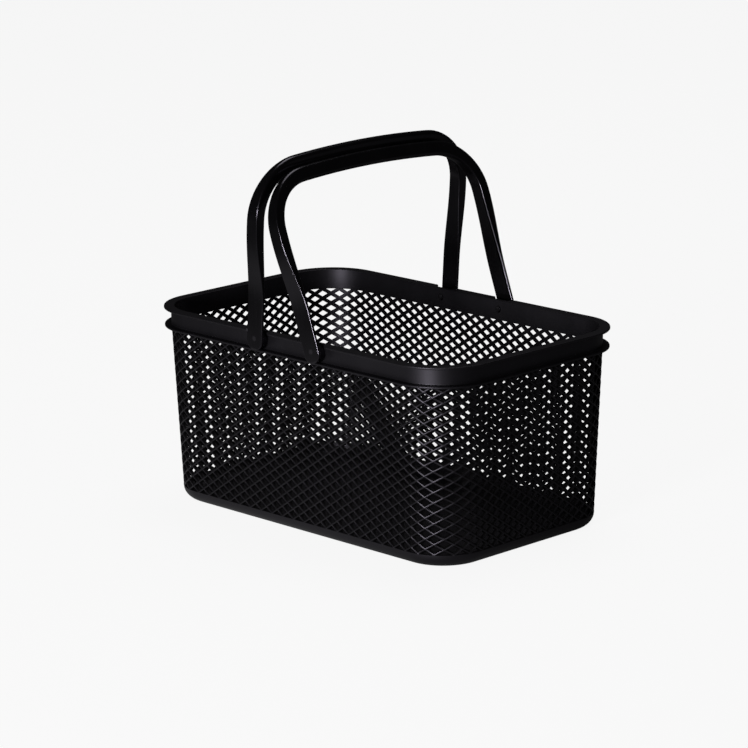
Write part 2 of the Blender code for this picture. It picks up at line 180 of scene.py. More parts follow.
class Graph:
    """The node graph of a material or world, with the few kinds of node that the finishes use."""

    core_share = 0.35

    def __init__(self, owner: Material | World) -> None:
        """Start an empty graph.

        Args:
            owner: The material or world, whose own nodes are removed.
        """
        owner.use_nodes = True
        self.tree = owner.node_tree
        self.tree.nodes.clear()

    def node(self, kind: str, settings: Inputs | None = None, inputs: Inputs | None = None) -> Node:
        """Add a node, set it up, and then fill its inputs.

        Args:
            kind: The node's type.
            settings: The node's own properties, set first.
            inputs: A number, colour or value for each input that is named or counted.

        Returns:
            The new node.
        """
        node = self.tree.nodes.new(kind)
        for name, setting in (settings or {}).items():
            setattr(node, name, setting)
        for name, given in (inputs or {}).items():
            if isinstance(given, Value):
                self.tree.links.new(given.socket, node.inputs[name])
            else:
                node.inputs[name].default_value = given
        return node

    def value(self, kind: str, *given: object, name: str | int = 0) -> Value:
        """Add a node as above, and give its first output or a named one."""
        return Value(self, self.node(kind, *given).outputs[name])

    def object_place(self) -> Value:
        """The Object coordinates, in metres."""
        return self.value("ShaderNodeTexCoord", name="Object")

    def path(self, kind: str) -> Value:
        """1 for rays of a kind and 0 for others."""
        return self.value("ShaderNodeLightPath", name=f"Is {kind} Ray")

    def mapped(self, place: Value, scale: Point, shift: Point = (0.0, 0.0, 0.0)) -> Value:
        """Scale coordinates and then shift them."""
        inputs = {"Vector": place, "Location": shift, "Scale": scale}
        return self.value("ShaderNodeMapping", {"vector_type": "POINT"}, inputs)

    def noise(self, place: Value, size: float, detail: float) -> Value:
        """A noise from 0 to 1, with features of a size in metres and a number of finer layers."""
        inputs = {"Vector": place, "Scale": 1 / size, "Detail": detail}
        return self.value("ShaderNodeTexNoise", None, inputs)

    def nearness(self, place: Value, spot: Point, across: Point, radius: float) -> Value:
        """How near the surface is to a line through a spot.

        Args:
            place: The Object coordinates.
            spot: A point on the line.
            across: 1 for the axes that count and 0 for the line's own axis.
            radius: The distance at which the result is 0.

        Returns:
            1 close to the line, falling smoothly to 0 at the radius.
        """
        shift = tuple(-middle * share for middle, share in zip(spot, across))
        inputs = {0: self.mapped(place, across, shift)}
        length = self.value("ShaderNodeVectorMath", {"operation": "LENGTH"}, inputs, name="Value")
        return 1 - length.rise(radius * self.core_share, radius)

    def mixed_colour(self, share: Value, first: "Colour | Value", second: Colour) -> Value:
        """Mix two colours.

        Args:
            share: How much of the second colour shows.
            first: The first colour, linear, or a colour that is already mixed.
            second: The second colour, linear.

        Returns:
            The mixed colour.
        """
        under = first if isinstance(first, Value) else (*first, 1)
        inputs = {0: share, 6: under, 7: (*second, 1)}
        return self.value("ShaderNodeMix", {"data_type": "RGBA"}, inputs, name=2)

    def bump(self, height: Value, depth: float, under: Value | None = None) -> Value:
        """A bump.

        Args:
            height: The height, from 0 to 1.
            depth: How deep 1 stands, in metres.
            under: The bump that this one lies on.

        Returns:
            The bumped normal.
        """
        inputs = {"Strength": 1.0, "Distance": depth, "Height": height}
        if under is not None:
            inputs["Normal"] = under
        return self.value("ShaderNodeBump", None, inputs)

    def surface(self, share: Value, first: Value, second: Value) -> None:
        """Make the surface from two shaders, of which the second has a share."""
        mix = self.value("ShaderNodeMixShader", None, {0: share, 1: first, 2: second})
        self.node("ShaderNodeOutputMaterial", None, {0: mix})


@dataclass(frozen=True)
class MouldedPlastic:
    """Satin black moulded plastic, with the fine grain and flow of the mould."""

    name: str
    colour: Colour
    pale_colour: Colour
    roughness: float
    roughness_spread: float = 0.09
    specular: float = 0.5
    specular_tint: Colour = (0.90, 0.84, 1.0)
    cloud_size: float = 0.035
    cloud_rise: Span = (0.42, 0.72)
    cloud_share: float = 0.35
    rub_size: float = 0.006
    rub_scale: Point = (1.0, 1.0, 0.25)
    rub_rise: Span = (0.55, 0.85)
    rub_share: float = 0.3
    grain_size: float = 0.00035
    grain_share: float = 0.15
    grain_depth: float = 0.000005
    flow_size: float = 0.02
    flow_depth: float = 0.00006
    streaks: float = 0.0
    streak_size: float = 0.0014
    streak_scale: Point = (1.0, 1.0, 0.03)
    streak_rise: Span = (0.5, 0.8)
    sink_radius: float = 0.0024
    # The paler colour of the mark over each pin is a painted highlight.
    sink_highlight_colour: Colour = (0.0125, 0.0118, 0.0134)
    sink_roughness: float = 0.12
    # Painted shade: the darker, duller finish of the flanks deep between the mesh's ribs.
    painted_deep_shade_colour: Colour = (0.0022, 0.0020, 0.0023)
    deep_roughness: float = 0.6
    deep_specular: float = 0.12
    deep_rise: Span = (0.08, 0.4)
    painted_deep_shade_share: float = 0.92

    def material(self, sinks: Sequence[Point] = ()) -> Material:
        """Make the material: the plastic, and a darker, duller one that paints shade deep on the
        flanks between the mesh's ribs.

        Args:
            sinks: Points on lines along Y, round which the surface has a small mark, painted paler
                as a highlight and made rougher.

        Returns:
            The new material.
        """
        material = bpy.data.materials.new(self.name)
        graph = Graph(material)
        place = graph.object_place()
        clouds = graph.noise(place, self.cloud_size, detail=4.0)
        rub = graph.noise(graph.mapped(place, self.rub_scale), self.rub_size, detail=5.0)
        grain = graph.noise(place, self.grain_size, detail=2.0)
        flow = graph.noise(place, self.flow_size, detail=1.0)
        pale = clouds.rise(*self.cloud_rise) * self.cloud_share
        pale = pale + rub.rise(*self.rub_rise) * self.rub_share + grain * self.grain_share
        rough = (clouds - 0.5) * self.roughness_spread + (rub - 0.5) * self.roughness_spread
        rough = rough + (grain - 0.5) * self.roughness_spread + self.roughness
        if self.streaks > 0:
            drawn = graph.mapped(place, self.streak_scale)
            streak = graph.noise(drawn, self.streak_size, detail=3.0)
            pale = pale + streak.rise(*self.streak_rise) * self.streaks
            rough = rough + (streak - 0.5) * self.streaks
        colour = graph.mixed_colour(pale.clamped(), self.colour, self.pale_colour)
        # Round each point, paint a paler spot as a highlight and make the surface rougher.
        for spot in sinks:
            sink_highlight = graph.nearness(place, spot, (1.0, 0.0, 1.0), self.sink_radius)
            colour = graph.mixed_colour(sink_highlight, colour, self.sink_highlight_colour)
            rough = rough + sink_highlight * self.sink_roughness
        plain = graph.value("ShaderNodeBsdfPrincipled", None, {
            "Base Color": colour,
            "Roughness": rough.clamped(),
            "Specular IOR Level": self.specular,
            "Specular Tint": (*self.specular_tint, 1),
            "Normal": graph.bump(grain, self.grain_depth, graph.bump(flow, self.flow_depth)),
        })
        # This darker, duller shader paints shade deep between the mesh's ribs, more the deeper the
        # flank.
        deep = graph.value("ShaderNodeBsdfPrincipled", None, {
            "Base Color": (*self.painted_deep_shade_colour, 1),
            "Roughness": self.deep_roughness,
            "Specular IOR Level": self.deep_specular,
        })
        depth = graph.value("ShaderNodeAttribute", {"attribute_name": DEPTH_LAYER}, name="Fac")
        graph.surface(depth.rise(*self.deep_rise) * self.painted_deep_shade_share, plain, deep)
        return material


TUB_PLASTIC = MouldedPlastic(
    name="satin_black_tub_plastic",
    colour=(0.0028, 0.0026, 0.0031),
    pale_colour=(0.0062, 0.0058, 0.0068),
    roughness=0.43,
)
HANDLE_PLASTIC = MouldedPlastic(
    name="satin_black_handle_plastic",
    colour=(0.0016, 0.0015, 0.0017),
    pale_colour=(0.0042, 0.0039, 0.0044),
    roughness=0.20,
    grain_depth=0.000003,
    streaks=0.16,
)


class Piece:
    """What every piece of the basket shares: how a bmesh becomes an object that rides on a body."""

    broad_face_weight = 60

    @staticmethod
    def as_object(name: str, bm: BMesh) -> Object:
        """Turn a bmesh into an object at the origin.

        Args:
            name: The object's name.
            bm: The mesh, which is freed.

        Returns:
            The new object, in the scene.
        """
        mesh = bpy.data.meshes.new(name)
        bm.to_mesh(mesh)
        bm.free()
        return in_scene(name, mesh)

    @staticmethod
    def close(bm: BMesh) -> None:
        """Weld a mesh and turn its faces outwards.

        Args:
            bm: The mesh.
        """
        bmesh.ops.remove_doubles(bm, verts=bm.verts[:], dist=WELD)
        bmesh.ops.recalc_face_normals(bm, faces=bm.faces[:])
        if bm.calc_volume(signed=True) < 0:
            bmesh.ops.reverse_faces(bm, faces=bm.faces[:])

    @staticmethod
    def cut(obj: Object, tools: Sequence[Object]) -> None:
        """Cut tools out of an object, and remove them.

        Args:
            obj: The object.
            tools: The tools.
        """
        for tool in tools:
            modifier = obj.modifiers.new(f"Cut {tool.name}", "BOOLEAN")
            modifier.operation = "DIFFERENCE"
            modifier.solver = "EXACT"
            modifier.object = tool
        bpy.context.view_layer.update()
        evaluated = obj.evaluated_get(bpy.context.evaluated_depsgraph_get())
        mesh = bpy.data.meshes.new_from_object(evaluated)
        obj.modifiers.clear()
        obj.data = mesh
        for tool in tools:
            bpy.data.objects.remove(tool)

    @classmethod
    def dress(
        cls, obj: Object, material: Material, body: str, slot: str,
        sharp: float, is_broad: bool = True,
    ) -> None:
        """Shade a piece, give it its finish and hang it on its body.

        Args:
            obj: The piece.
            material: Its finish.
            body: The CAD body that it rides on.
            slot: The record's material slot; not used.
            sharp: The angle in degrees from which an edge is shaded sharp.
            is_broad: Whether its broad faces shade flat, and only its rounded edges shade round.
        """
        obj.data.materials.clear()
        obj.data.materials.append(material)
        obj.data.shade_smooth()
        obj.data.set_sharp_from_angle(angle=math.radians(sharp))
        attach(obj, body)
        if is_broad:
            modifier = obj.modifiers.new("Broad faces shade flat", "WEIGHTED_NORMAL")
            modifier.mode = "FACE_AREA"
            modifier.weight = cls.broad_face_weight
            modifier.keep_sharp = True


@dataclass(frozen=True)
class TubForm:
    """The tub's outside form in plan at every height, shared by its rim, mesh and base."""

    half_length: float = 0.145
    half_width: float = 0.0889
    corner_radius: float = 0.035
    foot_corner_radius: float = 0.034
    draft: float = 0.0046
    mesh_top: float = 0.1265
    mesh_bottom: float = 0.0096
    wall: float = 0.0026
    corner_steps: int = 20

    def section(self, height: float) -> Point:
        """The outer face of the walls at a height.

        Args:
            height: The height over the underside.

        Returns:
            Half the length, half the width and the corner radius.
        """
        drop = unit((self.mesh_top - height) / self.mesh_top)
        inset = self.draft * drop
        radius = self.corner_radius + (self.foot_corner_radius - self.corner_radius) * drop
        return self.half_length - inset, self.half_width - inset, radius

    def sweep(self, profile: Sequence[Span], at: float, is_closed: bool) -> BMesh:
        """Carry a profile once round the tub.

        Args:
            profile: Points as distance outside the wall's outer face, and height.
            at: The height whose plan the profile follows.
            is_closed: Whether the last point joins the first.

        Returns:
            The swept mesh, open at the first and last points if the profile isn't closed.
        """
        half_length, half_width, radius = self.section(at)
        run_x, run_y = half_length - radius, half_width - radius
        bm = bmesh.new()
        verts = [bm.verts.new((run_x + radius + out, run_y, height)) for out, height in profile]
        pairs = zip(verts, verts[1:] + verts[:1] if is_closed else verts[1:])
        geom = verts + [bm.edges.new(pair) for pair in pairs]
        corners = ((1, 1), (-1, 1), (-1, -1), (1, -1))
        for quarter, (side_x, side_y) in enumerate(corners):
            geom = bmesh.ops.spin(
                bm, geom=geom, cent=(side_x * run_x, side_y * run_y, 0.0), axis=(0, 0, 1),
                dvec=(0, 0, 0), angle=QUARTER, steps=self.corner_steps, use_merge=False,
                use_normal_flip=False, use_duplicate=False,
            )["geom_last"]
            edges = only(BMEdge, geom)
            grown = bmesh.ops.extrude_edge_only(bm, edges=edges)["geom"]
            geom = [item for item in grown if not isinstance(item, BMFace)]
            next_x, next_y = corners[(quarter + 1) % len(corners)]
            step = Vector(((next_x - side_x) * run_x, (next_y - side_y) * run_y, 0))
            bmesh.ops.translate(bm, vec=step, verts=only(BMVert, geom))
        bmesh.ops.remove_doubles(bm, verts=bm.verts[:], dist=WELD)
        return bm


@dataclass(frozen=True)
class Hinges:
    """Where the handles' pins turn in the rim band."""

    spacing: float = 0.057
    height: float = 0.1345
    boss_radius: float = 0.0055
    pin_radius: float = 0.0021
    hole_radius: float = 0.0025
    pin_stand_out: float = 0.0006

    def places(self) -> list[tuple[int, int]]:
        """The side along X and the side along Y of each hinge."""
        return [(handle.value, leg.value) for handle in HandleSide for leg in Leg]


@dataclass(frozen=True)
class RimBand:
    """The plain band round the mouth, with its top lip, lower flange, lip notches and pin holes."""

    form: TubForm
    hinges: Hinges
    top: float = 0.1411
    lip_reach: float = 0.005
    lip_thickness: float = 0.0016
    flange_reach: float = 0.0046
    flange_thickness: float = 0.0015
    edge_angle: float = math.radians(60)
    edge_round: float = 0.00045
    edge_steps: int = 3
    notch_clearance: float = 0.0015
    cut_depth: float = 0.004
    notch_steps: int = 48
    hole_walls: int = 3
    hole_steps: int = 32

    @property
    def notch_half(self) -> float:
        """Half the width of a lip notch."""
        return self.hinges.boss_radius + self.notch_clearance

    def over_hinge(self, sides: tuple[int, int], beside: float = 0.0, out: float = 0.0) -> Matrix:
        """A place over a hinge, halfway up the lip's thickness.

        Args:
            sides: The hinge's side along X and along Y.
            beside: How far along X it lies from the hinge.
            out: How far it lies outside the band's outer face.

        Returns:
            The move from the origin to the place.
        """
        side_x, side_y = sides
        return Matrix.Translation((
            side_x * self.hinges.spacing / 2 + beside,
            side_y * (self.form.half_width + out),
            self.top - self.lip_thickness / 2,
        ))

    def ring(self) -> BMesh:
        """Make the whole ring with all its edges rounded.

        Returns:
            The ring.
        """
        bottom = self.form.mesh_top
        profile = [
            (-self.form.wall, self.top),
            (self.lip_reach, self.top),
            (self.lip_reach, self.top - self.lip_thickness),
            (0.0, self.top - self.lip_thickness),
            (0.0, bottom + self.flange_thickness),
            (self.flange_reach, bottom + self.flange_thickness),
            (self.flange_reach, bottom),
            (-self.form.wall, bottom),
        ]
        bm = self.form.sweep(profile, bottom, is_closed=True)
        Piece.close(bm)
        bm.edges.ensure_lookup_table()
        edges = [edge for edge in bm.edges if edge.calc_face_angle(0) > self.edge_angle]
        bmesh.ops.bevel(
            bm, geom=edges, offset=self.edge_round, offset_type="OFFSET", affect="EDGES",
            segments=self.edge_steps, profile=0.5, material=-1, clamp_overlap=True,
        )
        return bm

    def notches(self) -> Object:
        """Make the cutter that opens the lip round each leg.

        Returns:
            The cutter.
        """
        bm = bmesh.new()
        depth = self.lip_reach + self.cut_depth
        height = self.lip_thickness + self.cut_depth
        scale = Matrix.Diagonal((2 * self.notch_half, depth, height, 1))
        for sides in self.hinges.places():
            verts = bmesh.ops.create_cube(bm, size=1.0)["verts"]
            place = self.over_hinge(sides, out=depth / 2)
            bmesh.ops.transform(bm, matrix=place @ scale, verts=verts)
        return Piece.as_object("lip_notch_cutter", bm)

    def fillets(self) -> Object:
        """Make the cutter that rounds the mouths of the notches: blocks less a cylinder each.

        Returns:
            The cutter.
        """
        blocks, rounds = bmesh.new(), bmesh.new()
        reach = self.lip_reach
        depth = reach + self.cut_depth
        height = self.lip_thickness + self.cut_depth
        for sides in self.hinges.places():
            for way in SIDES:
                verts = bmesh.ops.create_grid(blocks, x_segments=1, y_segments=1, size=0.5)["verts"]
                faces = list({face for vert in verts for face in vert.link_faces})
                bmesh.ops.scale(blocks, vec=(reach, depth, 1), verts=verts)
                base = Vector((self.notch_half + reach / 2, depth / 2, -height / 2))
                bmesh.ops.translate(blocks, vec=base, verts=verts)
                grown = bmesh.ops.extrude_face_region(blocks, geom=faces)["geom"]
                moved = only(BMVert, grown)
                bmesh.ops.translate(blocks, vec=(0, 0, height), verts=moved)
                flip = self.over_hinge(sides) @ Matrix.Diagonal((way, sides[1], 1, 1))
                bmesh.ops.transform(blocks, matrix=flip, verts=verts + moved)
                centre = self.over_hinge(sides, beside=way * (self.notch_half + reach))
                bmesh.ops.create_cone(
                    rounds, cap_ends=True, segments=self.notch_steps, radius1=reach, radius2=reach,
                    depth=2 * height, matrix=centre,
                )
        bmesh.ops.recalc_face_normals(blocks, faces=blocks.faces[:])
        obj = Piece.as_object("notch_fillet_block", blocks)
        Piece.cut(obj, [Piece.as_object("notch_round", rounds)])
        return obj

    def holes(self) -> Object:
        """Make the cutter for the pin holes.

        Returns:
            The cutter.
        """
        bm = bmesh.new()
        radius = self.hinges.hole_radius
        for side_x, side_y in self.hinges.places():
            centre = (
                side_x * self.hinges.spacing / 2, side_y * self.form.half_width, self.hinges.height
            )
            bmesh.ops.create_cone(
                bm, cap_ends=True, segments=self.hole_steps, radius1=radius, radius2=radius,
                depth=self.hole_walls * self.form.wall,
                matrix=Matrix.Translation(centre) @ Matrix.Rotation(QUARTER, 4, "X"),
            )
        return Piece.as_object("pin_hole_cutter", bm)

    def build(self, material: Material) -> Object:
        """Make the band.

        Args:
            material: Its finish.

        Returns:
            The finished piece.
        """
        obj = Piece.as_object("moulded_rim_band", self.ring())
        fillets = self.fillets()
        Piece.cut(obj, [self.notches(), fillets, self.holes()])
        Piece.dress(obj, material, "tub", "tub_plastic", sharp=38)
        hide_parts("rim_band")
        return obj


@dataclass(frozen=True)
class DiamondMesh:
    """The mesh of the walls: tapered ribs that cross on the slant and run on round the corners."""

    form: TubForm
    long_columns: int = 48
    short_columns: int = 28
    rows: int = 32
    depth: float = 0.0023
    ridge_width: float = 0.0006
    shoulder_width: float = 0.0010
    foot_width: float = 0.0027
    ridge_height: float = 0.0001
    crown_height: float = 0.00012
    foot_height: float = 0.0003
    edge_round: float = 0.00018
    overlap: float = 0.0002
    spare_columns: int = 2
    spare_rows: int = 3
    crossing_tolerance: float = 0.01
    slice_tolerance: float = WELD / 10

    @property
    def half_pitch(self) -> Span:
        """Half the pitch along a wall and half the pitch up it."""
        height = self.form.mesh_top - self.form.mesh_bottom
        return self.form.half_length * 2 / self.long_columns, height / self.rows

    def is_crossing(self, vert: BMVert) -> bool:
        """Whether a vertex of the flat net lies where two ribs cross."""
        places = [place / half for place, half in zip(vert.co, self.half_pitch)]
        return all(abs(place - round(place)) < self.crossing_tolerance for place in places)

    def lattice(self, columns: int) -> BMesh:
        """Lay out the feet of the ribs on the slant, flat and past the wall's edges.

        Args:
            columns: The number of half columns between the wall's two mould seams.

        Returns:
            The flat lattice.
        """
        half_x, half_y = self.half_pitch
        bm = bmesh.new()
        wide, tall = columns + 2 * self.spare_columns, self.rows + 2 * self.spare_rows
        bmesh.ops.create_grid(bm, x_segments=wide, y_segments=tall, size=1.0)
        reach_x, reach_y = half_x * wide / 2, half_y * tall / 2
        bmesh.ops.scale(bm, vec=(reach_x, reach_y, 1), verts=bm.verts[:])
        crossings, middles = [], []
        for vert in bm.verts:
            column, row = round(vert.co.x / half_x), round(vert.co.y / half_y)
            (middles if (column + row) % 2 == 0 else crossings).append(vert)
        bmesh.ops.connect_verts(bm, verts=crossings)
        bmesh.ops.dissolve_verts(bm, verts=middles)
        gaps = bm.faces[:]
        bmesh.ops.inset_individual(
            bm, faces=gaps, thickness=self.foot_width / 2, use_even_offset=True
        )
        edge_x, edge_y = reach_x - WELD, reach_y - WELD
        border = [vert for vert in bm.verts if abs(vert.co.x) > edge_x or abs(vert.co.y) > edge_y]
        bmesh.ops.delete(bm, geom=gaps, context="FACES")
        border = [vert for vert in border if vert.is_valid]
        bmesh.ops.delete(bm, geom=border, context="VERTS")
        return bm

    def raise_ribs(self, bm: BMesh) -> None:
        """Give the ribs their depth: a foot, slanting flanks, a ridge, and crowns where they cross.

        Args:
            bm: The flat lattice.
        """
        inside = bm.faces[:]
        grown = bmesh.ops.extrude_face_region(bm, geom=inside)["geom"]
        outside = only(BMFace, grown)
        moved = only(BMVert, grown)
        bmesh.ops.translate(bm, vec=(0, 0, self.foot_height), verts=moved)
        bmesh.ops.recalc_face_normals(bm, faces=bm.faces[:])
        shoulder = self.depth - self.edge_round - self.foot_height - self.ridge_height
        for faces, thickness, depth in (
            (outside, (self.foot_width - self.shoulder_width) / 2, shoulder),
            (outside, (self.shoulder_width - self.ridge_width) / 2, self.ridge_height),
            (inside, self.edge_round, self.edge_round),
        ):
            bmesh.ops.inset_region(
                bm, faces=faces, thickness=thickness, depth=depth, use_even_offset=True
            )
        top = max(vert.co.z for vert in bm.verts)
        crown = [vert for vert in bm.verts if vert.co.z > top - WELD and self.is_crossing(vert)]
        bmesh.ops.translate(bm, vec=(0, 0, self.crown_height), verts=crown)

    def net(self, columns: int) -> BMesh:
        """Make a flat net, its ribs' ridges up, closed at top and bottom and open at the seams.

        Args:
            columns: The number of half columns between the wall's two mould seams.

        Returns:
            The net, x from -1 to 1 between the seams, y up the wall from its middle, z its depth.
        """
        bm = self.lattice(columns)
        self.raise_ribs(bm)
        half_x, half_y = self.half_pitch
        end = half_y * self.rows / 2 + self.overlap
        seam = half_x * columns / 2
        for reach, x, y in ((end, 0, -1), (end, 0, 1), (seam, -1, 0), (seam, 1, 0)):
            cut = bmesh.ops.bisect_plane(
                bm, geom=bm.verts[:] + bm.edges[:] + bm.faces[:], dist=self.slice_tolerance,
                plane_co=(x * reach, y * reach, 0), plane_no=(x, y, 0), clear_outer=True,
            )["geom_cut"]
            if reach == end:
                bmesh.ops.holes_fill(bm, edges=only(BMEdge, cut), sides=0)
        top = max(vert.co.z for vert in bm.verts)
        bmesh.ops.translate(bm, vec=(0, 0, -top), verts=bm.verts[:])
        bmesh.ops.scale(bm, vec=(1 / seam, 1, 1), verts=bm.verts[:])
        deepest = self.depth - self.edge_round - self.foot_height
        # Each vertex's depth down the rib flanks, from which the tub's material paints shade
        # between the ribs.
        layer = bm.verts.layers.float.new(DEPTH_LAYER)
        for vert in bm.verts:
            down = -vert.co.z - self.crown_height
            vert[layer] = unit(down / deepest) if down < self.depth - self.edge_round / 2 else 0.0
        return bm

    def bent(self, wall: WallFace, along: float, height: float, depth: float) -> Vector:
        """Where a point of the flat net lies on the tub.

        Args:
            wall: The wall.
            along: Its place between the two seams, -1 to 1.
            height: Its height over the underside.
            depth: Its depth under the outer face.

        Returns:
            The point.
        """
        half_length, half_width, radius = self.form.section(height)
        half, reach = (half_length, half_width) if wall.is_long else (half_width, half_length)
        run = (half - radius + radius * math.sin(QUARTER / 2)) * abs(along)
        turn = math.asin(unit((run - half + radius) / radius))
        draw = turn * (turn / (QUARTER / 2)) ** 2
        depth /= math.cos(turn - draw)
        out = reach - radius + radius * math.cos(turn) - depth * math.cos(draw)
        run -= depth * math.sin(draw)
        flat = Vector((out, math.copysign(run, along), height))
        flat.rotate(Matrix.Rotation(wall.value * QUARTER, 3, "Z"))
        return flat

    def build(self, material: Material) -> Object:
        """Make the mesh.

        Args:
            material: Its finish.

        Returns:
            The finished piece.
        """
        whole = bpy.data.meshes.new("diamond_mesh")
        bm = bmesh.new()
        bm.verts.layers.float.new(DEPTH_LAYER)
        middle = (self.form.mesh_top + self.form.mesh_bottom) / 2
        for wall in WallFace:
            part = self.net(self.long_columns if wall.is_long else self.short_columns)
            for vert in part.verts:
                vert.co = self.bent(wall, vert.co.x, vert.co.y + middle, -vert.co.z)
            part.to_mesh(whole)
            part.free()
            bm.from_mesh(whole)
        bpy.data.meshes.remove(whole)
        Piece.close(bm)
        obj = Piece.as_object("diamond_mesh_walls", bm)
        Piece.dress(obj, material, "tub", "tub_plastic", sharp=30, is_broad=False)
        ends, sides = ("front", "back"), ("left", "right")
        walls = [f"{name}_mesh_wall" for name in ends + sides]
        corners = [f"{end}_{side}_mesh_corner" for end in ends for side in sides]
        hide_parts(*walls, *corners)
        return obj


@dataclass(frozen=True)
class BaseTray:
    """The floor and the plain rounded foot of the walls."""

    form: TubForm
    foot_round: float = 0.009
    floor_thickness: float = 0.0022
    floor_round: float = 0.006
    top_round: float = 0.0003
    round_steps: int = 8

    def build(self, material: Material) -> Object:
        """Make the base: its wall from the underside over the top to the floor, and both floors.

        Args:
            material: Its finish.

        Returns:
            The finished piece.
        """
        top, wall = self.form.mesh_bottom, self.form.wall
        at = top / 2
        middle = self.form.section(at)[0]
        angles = [QUARTER * step / self.round_steps for step in range(self.round_steps + 1)]
        points = []
        for angle in angles:
            height = self.foot_round * (1 - math.cos(angle))
            lean = self.form.section(height)[0] - middle
            points.append((self.foot_round * (math.sin(angle) - 1) + lean, height))
        lean = self.form.section(top)[0] - middle
        points += [(lean, top - self.top_round), (lean - self.top_round, top)]
        points += [(lean - wall + self.top_round, top), (lean - wall, top - self.top_round)]
        for angle in angles:
            out = -wall - self.floor_round * (1 - math.cos(angle))
            points.append((out, self.floor_thickness + self.floor_round * (1 - math.sin(angle))))
        bm = self.form.sweep(points, at, is_closed=False)
        open_edges = [edge for edge in bm.edges if edge.is_boundary]
        bmesh.ops.holes_fill(bm, edges=open_edges, sides=0)
        Piece.close(bm)
        obj = Piece.as_object("moulded_base_tray", bm)
        Piece.dress(obj, material, "tub", "tub_plastic", sharp=38)
        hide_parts("base_tray")
        return obj


